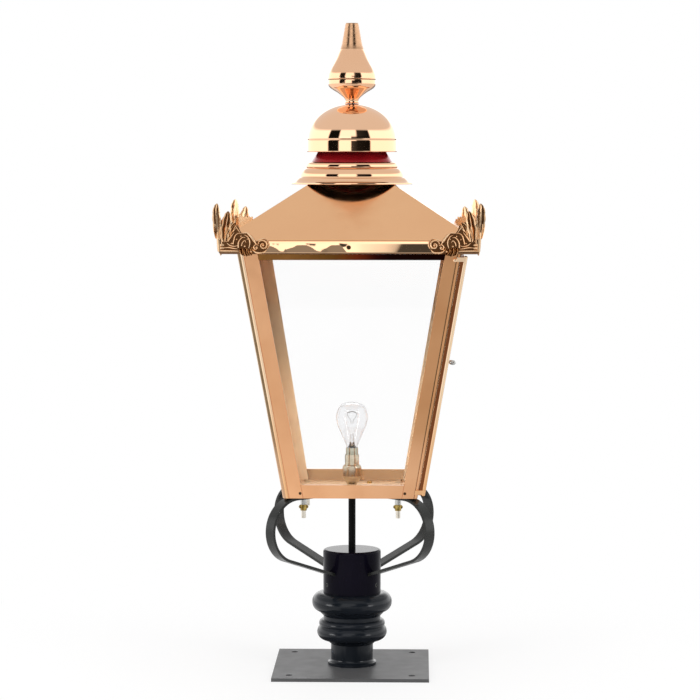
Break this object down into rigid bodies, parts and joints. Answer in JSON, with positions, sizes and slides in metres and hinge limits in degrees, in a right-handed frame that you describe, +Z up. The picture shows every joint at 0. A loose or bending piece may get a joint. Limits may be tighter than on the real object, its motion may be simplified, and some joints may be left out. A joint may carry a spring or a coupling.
{
  "type": "pillar lantern",
  "caption": "Tapering square copper lantern with a glazed door, corner ears, domed vent and finial, on a black looped bracket, turned column and square base plate.",
  "frame": {"origin": "centre of the base plate's underside", "axes": "+Z up along the column, -Y towards the viewer, +X towards the door's side"},
  "size_m": [0.4646, 0.4646, 1.1501],
  "materials": {
    "black_iron": "gloss black paint",
    "grey_plate": "satin dark grey paint",
    "copper": "polished copper sheet",
    "bright_copper": "mirror-polished copper",
    "red_copper": "deep red heat-toned copper",
    "brass": "brass",
    "steel": "plated steel",
    "clear_glass": "clear"
  },
  "bodies": {
    "lantern": {"base_plate": "grey_plate", "column": "black_iron", "frog_socket": "black_iron", "socket_screws": "steel", "arm_front_left": "black_iron", "arm_front_right": "black_iron", "arm_back_left": "black_iron", "arm_back_right": "black_iron", "conduit": "black_iron", "conduit_nut": "black_iron", "fixing_studs": "steel", "spacer_collars": "steel", "wing_nuts": "brass", "floor_plate": "copper", "sill_rails": "copper", "post_front_left": "copper", "post_front_right": "copper", "post_back_left": "copper", "post_back_right": "copper", "head_rails": "copper", "glass_front": "clear_glass", "glass_back": "clear_glass", "glass_left": "clear_glass", "glazing_clips": "copper", "frame_rivets": "bright_copper", "hinge_lugs": "bright_copper", "hinge_rod": "steel", "soffit_frame": "copper", "eave_band": "bright_copper", "eave_screws": "steel", "roof_panels": "copper", "ear_front_left": "bright_copper", "ear_front_right": "bright_copper", "ear_back_left": "bright_copper", "ear_back_right": "bright_copper", "vent_skirt": "copper", "vent_ring": "bright_copper", "vent_collar": "red_copper", "cowl_straps": "brass", "cowl_band": "bright_copper", "cowl_dome": "bright_copper", "finial_rod": "steel", "finial_nut": "steel", "finial_lower": "bright_copper", "finial_upper": "bright_copper", "lampholder": "steel", "earth_screw": "brass"},
    "door": {"door_stile_hinge": "copper", "door_stile_catch": "copper", "door_rail_top": "copper", "door_rail_bottom": "copper", "door_glass": "clear_glass", "door_clips": "copper", "hinge_tube": "bright_copper"},
    "catch": {"catch_knob": "steel", "catch_tongue": "steel"},
    "bulb": {"bulb_cap": "steel", "bulb_glass": "clear_glass", "bulb_stem": "clear_glass"},
    "plungers": {"contact_plungers": "brass"}
  },
  "joints": [
    {"name": "door_hinge", "type": "hinge", "parent": "lantern", "child": "door", "pos_m": [0.12676, -0.11463, 0.326], "axis": [-0.1672, 0.1672, -0.9716], "range_deg": [0, 110]},
    {"name": "catch_turn", "type": "hinge", "parent": "door", "child": "catch", "pos_m": [0.15538, 0.13488, 0.543], "axis": [0.9855, 0, -0.1696], "range_deg": [0, 90]},
    {"name": "bulb_twist", "type": "hinge", "parent": "lantern", "child": "bulb", "pos_m": [0, 0, 0.38], "axis": [0, 0, 1], "range_deg": [0, 20]},
    {"name": "plunger_press", "type": "slide", "parent": "lantern", "child": "plungers", "axis": [0, 0, -1], "range_m": [0, 0.003], "stiffness_N_per_m": 400}
  ]
}
